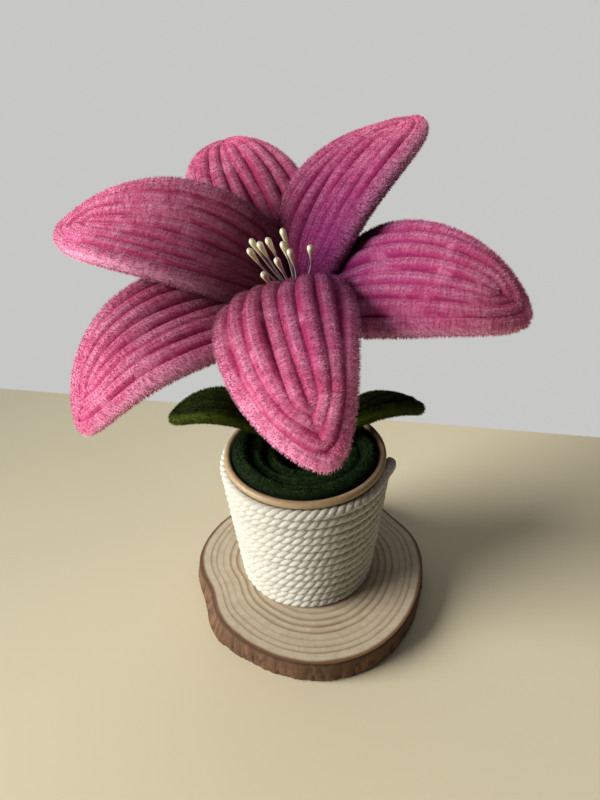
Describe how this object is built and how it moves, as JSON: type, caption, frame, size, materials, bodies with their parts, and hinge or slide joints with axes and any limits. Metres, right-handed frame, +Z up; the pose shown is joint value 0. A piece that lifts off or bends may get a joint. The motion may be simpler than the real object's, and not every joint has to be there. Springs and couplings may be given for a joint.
{
  "type": "chenille potted lily ornament",
  "caption": "Handmade pink lily of ribbed chenille petals on a green stem with leaves, in a rope-wrapped paper cup on a slice of wood.",
  "frame": {"origin": "on the table under the cup's axis, in the plane of the wood slice's underside", "axes": "+Z up along the cup's axis; -Y towards the front petal and the viewer; +X to the viewer's right"},
  "size_m": [0.1409, 0.1424, 0.1749],
  "materials": {
    "wood": "raw sawn face with growth rings and bark",
    "kraft_paper": "slightly glossy kraft",
    "cotton_rope": "twisted matte cotton",
    "foam": "matte cellular",
    "green_chenille": "velvet pile",
    "pink_chenille": "velvet pile",
    "stamen": "pearl gloss"
  },
  "bodies": {
    "root": {"wood_slice": "wood", "paper_cup": "kraft_paper", "rope_wrap": "cotton_rope", "foam_plug": "foam", "moss_coil": "green_chenille", "stem": "green_chenille", "leaf_left": "green_chenille", "leaf_right": "green_chenille", "petal_left": "pink_chenille", "petal_back": "pink_chenille", "petal_upper_right": "pink_chenille", "petal_right": "pink_chenille", "petal_front": "pink_chenille", "petal_lower_left": "pink_chenille", "stamens": "stamen"}
  },
  "joints": []
}
